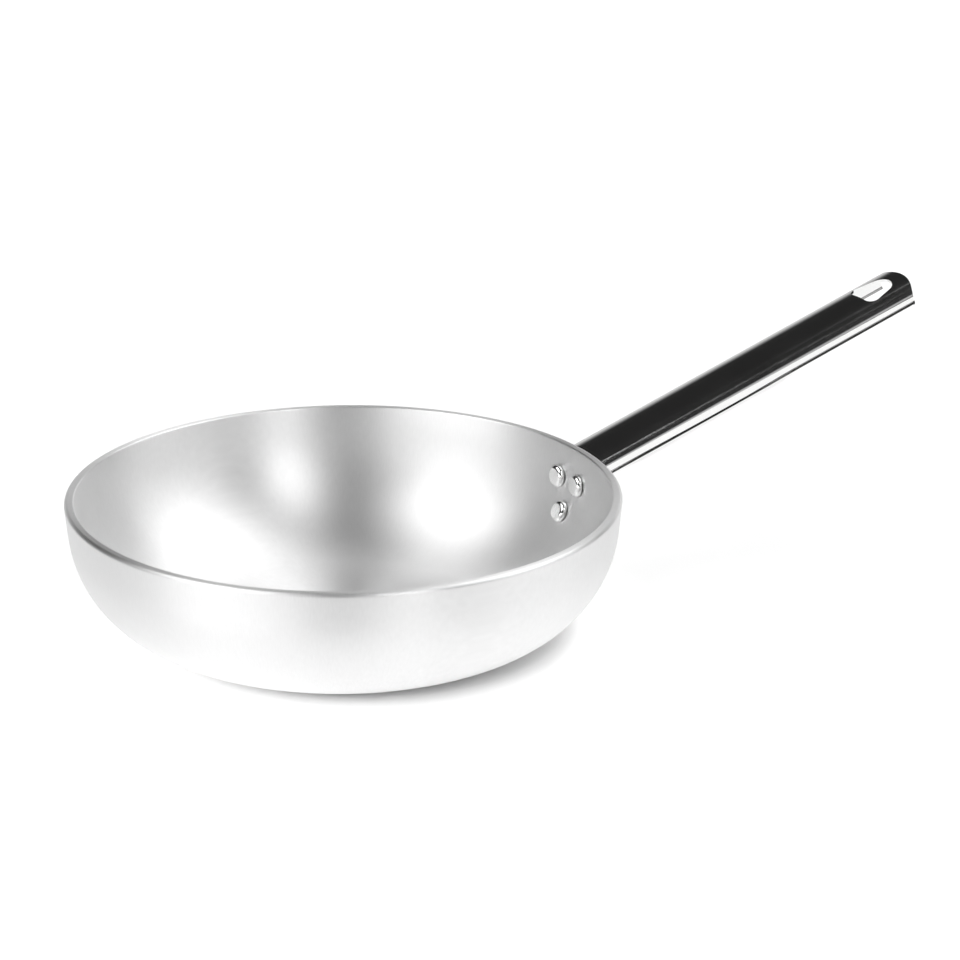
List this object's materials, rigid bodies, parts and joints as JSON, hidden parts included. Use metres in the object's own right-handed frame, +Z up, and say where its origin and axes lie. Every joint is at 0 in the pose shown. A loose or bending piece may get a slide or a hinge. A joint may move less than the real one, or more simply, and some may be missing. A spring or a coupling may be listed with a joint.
{
  "type": "frying pan",
  "caption": "Deep aluminium frying pan with a flared wall, a round lower corner and a rising folded steel handle riveted to the wall, with a hanging hole at its tip.",
  "frame": {"origin": "centre of the flat base, on the surface the pan stands on", "axes": "+Z up, +X from the pan's centre towards the handle, +Y to the left of the handle"},
  "size_m": [0.4846, 0.28, 0.1331],
  "materials": {
    "spun_aluminium": "satin, with fine turned grain round the axis",
    "polished_steel": "stainless steel sheet, mirror polished",
    "rivet_aluminium": "polished"
  },
  "bodies": {
    "root": {"pan_body": "spun_aluminium", "handle": "polished_steel", "rivet_upper_left": "rivet_aluminium", "rivet_upper_right": "rivet_aluminium", "rivet_lower": "rivet_aluminium"}
  },
  "joints": []
}
